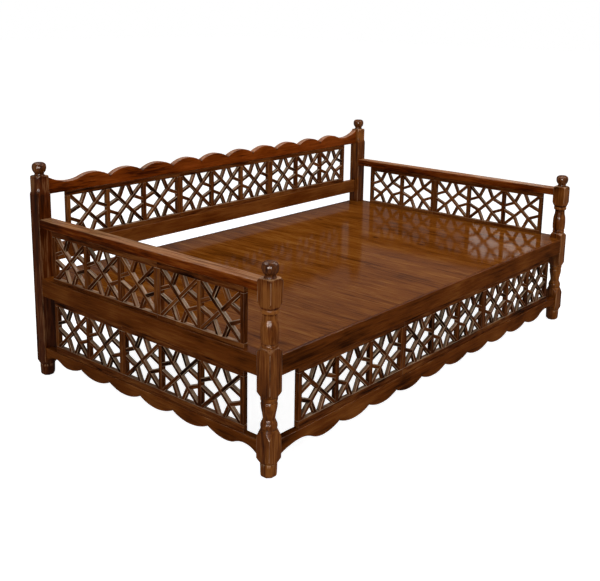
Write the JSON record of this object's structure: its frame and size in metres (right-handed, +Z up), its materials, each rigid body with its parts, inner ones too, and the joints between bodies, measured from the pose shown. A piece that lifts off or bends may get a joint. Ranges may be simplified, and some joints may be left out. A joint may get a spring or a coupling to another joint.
{
  "type": "daybed",
  "caption": "Wooden daybed with a boarded seat, lattice back and arms, a lattice and scalloped skirt on the front and left end, and turned posts with knobs.",
  "frame": {"origin": "on the floor, below the middle of the daybed", "axes": "+X along the long side to the right, +Y from the front to the back, +Z up"},
  "size_m": [2, 1.21, 0.825],
  "materials": {
    "post_wood": "semi-gloss varnish over walnut stain",
    "rail_wood": "semi-gloss varnish over walnut stain",
    "lattice_wood": "semi-gloss varnish over walnut stain",
    "deck_wood": "semi-gloss varnish over walnut stain",
    "steel": "zinc plated"
  },
  "bodies": {
    "root": {"back_bearer": "rail_wood", "back_bottom_rail": "rail_wood", "back_lattice_left_bars": "lattice_wood", "back_lattice_left_frame": "lattice_wood", "back_lattice_middle_bars": "lattice_wood", "back_lattice_middle_frame": "lattice_wood", "back_lattice_right_bars": "lattice_wood", "back_lattice_right_frame": "lattice_wood", "back_left_knob": "post_wood", "back_left_post": "post_wood", "back_right_knob": "post_wood", "back_right_post": "post_wood", "back_seat_rail": "rail_wood", "crest_rail": "rail_wood", "deck_board_01": "deck_wood", "deck_board_02": "deck_wood", "deck_board_03": "deck_wood", "deck_board_04": "deck_wood", "deck_board_05": "deck_wood", "deck_board_06": "deck_wood", "deck_board_07": "deck_wood", "deck_board_08": "deck_wood", "deck_board_09": "deck_wood", "deck_board_10": "deck_wood", "deck_board_11": "deck_wood", "deck_board_12": "deck_wood", "deck_screws": "steel", "front_bearer": "rail_wood", "front_lattice_left_bars": "lattice_wood", "front_lattice_left_frame": "lattice_wood", "front_lattice_middle_bars": "lattice_wood", "front_lattice_middle_frame": "lattice_wood", "front_lattice_right_bars": "lattice_wood", "front_lattice_right_frame": "lattice_wood", "front_left_knob": "post_wood", "front_left_post": "post_wood", "front_right_knob": "post_wood", "front_right_post": "post_wood", "front_scalloped_rail": "rail_wood", "front_seat_rail": "rail_wood", "lattice_dowels": "lattice_wood", "left_arm_lattice_back_bars": "lattice_wood", "left_arm_lattice_back_frame": "lattice_wood", "left_arm_lattice_front_bars": "lattice_wood", "left_arm_lattice_front_frame": "lattice_wood", "left_handrail": "rail_wood", "left_lower_lattice_back_bars": "lattice_wood", "left_lower_lattice_back_frame": "lattice_wood", "left_lower_lattice_front_bars": "lattice_wood", "left_lower_lattice_front_frame": "lattice_wood", "left_scalloped_rail": "rail_wood", "left_seat_rail": "rail_wood", "right_arm_lattice_back_bars": "lattice_wood", "right_arm_lattice_back_frame": "lattice_wood", "right_arm_lattice_front_bars": "lattice_wood", "right_arm_lattice_front_frame": "lattice_wood", "right_handrail": "rail_wood", "right_seat_rail": "rail_wood"}
  },
  "joints": []
}
